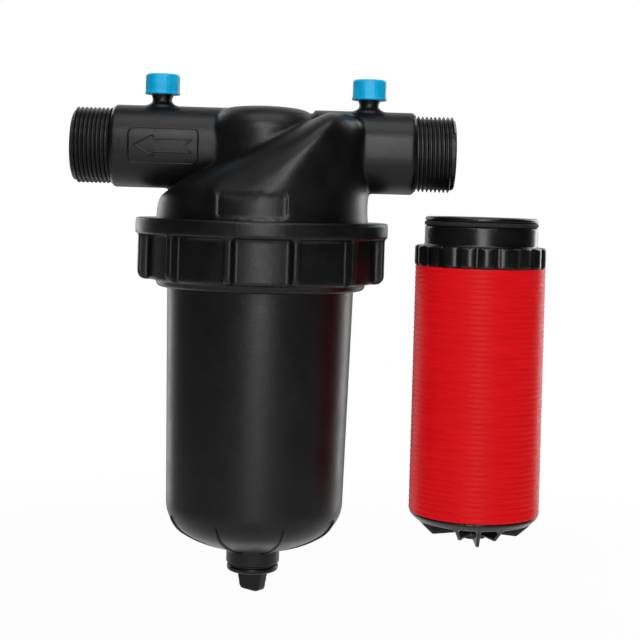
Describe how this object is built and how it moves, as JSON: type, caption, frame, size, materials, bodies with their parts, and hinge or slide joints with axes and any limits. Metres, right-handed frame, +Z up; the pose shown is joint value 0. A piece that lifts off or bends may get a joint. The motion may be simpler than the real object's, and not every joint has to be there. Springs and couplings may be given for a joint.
{
  "type": "irrigation disc filter",
  "caption": "In-line disc filter for drip irrigation: T-shaped threaded head, screw-on bowl with drain plug, capped test points, and its red disc cartridge drawn out beside it.",
  "frame": {"origin": "centre of the inlet mouth, at the end of the threaded inlet port", "axes": "+X out of the inlet along the ports, +Z up, the bowl hanging down"},
  "size_m": [0.263, 0.1394, 0.2837],
  "materials": {
    "black_plastic": "satin moulded, glass filled",
    "gloss_black_plastic": "glossy moulded",
    "cap_blue_plastic": "satin moulded",
    "disc_red_plastic": "satin moulded",
    "seal_rubber": "matt"
  },
  "bodies": {
    "head": {"head": "black_plastic", "cartridge_spine": "gloss_black_plastic", "filter_discs": "disc_red_plastic"},
    "bowl": {"bowl": "black_plastic", "bowl_oring": "seal_rubber"},
    "lock_nut": {"lock_nut": "black_plastic"},
    "drain_oring": {"drain_oring": "seal_rubber"},
    "drain_plug": {"drain_plug": "black_plastic"},
    "outlet_cap_seal": {"outlet_cap_seal": "seal_rubber"},
    "outlet_test_cap": {"outlet_test_cap": "cap_blue_plastic"},
    "inlet_cap_seal": {"inlet_cap_seal": "seal_rubber"},
    "inlet_test_cap": {"inlet_test_cap": "cap_blue_plastic"},
    "neck_oring": {"neck_oring": "seal_rubber"},
    "cartridge_top": {"cartridge_top": "gloss_black_plastic"}
  },
  "joints": [
    {"name": "bowl_travel", "type": "slide", "parent": "head", "child": "bowl", "axis": [0, 0, -1], "range_m": [0, 0.02]},
    {"name": "bowl_turn", "type": "hinge", "parent": "bowl", "child": "lock_nut", "pos_m": [-0.105, 0, -0.058], "axis": [0, 0, -1], "range_deg": [0, 1440]},
    {"name": "drain_travel", "type": "slide", "parent": "bowl", "child": "drain_oring", "axis": [0, 0, -1], "range_m": [0, 0.00907]},
    {"name": "drain_turn", "type": "hinge", "parent": "drain_oring", "child": "drain_plug", "pos_m": [-0.105, 0, -0.225], "axis": [0, 0, -1], "range_deg": [0, 1800]},
    {"name": "outlet_cap_travel", "type": "slide", "parent": "head", "child": "outlet_cap_seal", "axis": [0, 0, 1], "range_m": [0, 0.0075]},
    {"name": "outlet_cap_turn", "type": "hinge", "parent": "outlet_cap_seal", "child": "outlet_test_cap", "pos_m": [-0.1623, 0, 0.034], "axis": [0, 0, 1], "range_deg": [0, 1800]},
    {"name": "inlet_cap_travel", "type": "slide", "parent": "head", "child": "inlet_cap_seal", "axis": [0, 0, 1], "range_m": [0, 0.0075]},
    {"name": "inlet_cap_turn", "type": "hinge", "parent": "inlet_cap_seal", "child": "inlet_test_cap", "pos_m": [-0.0477, 0, 0.034], "axis": [0, 0, 1], "range_deg": [0, 1800]},
    {"name": "cartridge_top_travel", "type": "slide", "parent": "head", "child": "neck_oring", "axis": [0, 0, 1], "range_m": [0, 0.012]},
    {"name": "cartridge_top_turn", "type": "hinge", "parent": "neck_oring", "child": "cartridge_top", "pos_m": [0.0165, 0, -0.055], "axis": [0, 0, 1], "range_deg": [0, 1440]}
  ],
  "couplings": [
    {"joint": "bowl_turn", "follows": "bowl_travel", "rad_per_m": 1256.5},
    {"joint": "drain_turn", "follows": "drain_travel", "rad_per_m": 3463.4},
    {"joint": "outlet_cap_turn", "follows": "outlet_cap_travel", "rad_per_m": 4188.4},
    {"joint": "inlet_cap_turn", "follows": "inlet_cap_travel", "rad_per_m": 4188.4},
    {"joint": "cartridge_top_turn", "follows": "cartridge_top_travel", "rad_per_m": 2094.2}
  ]
}
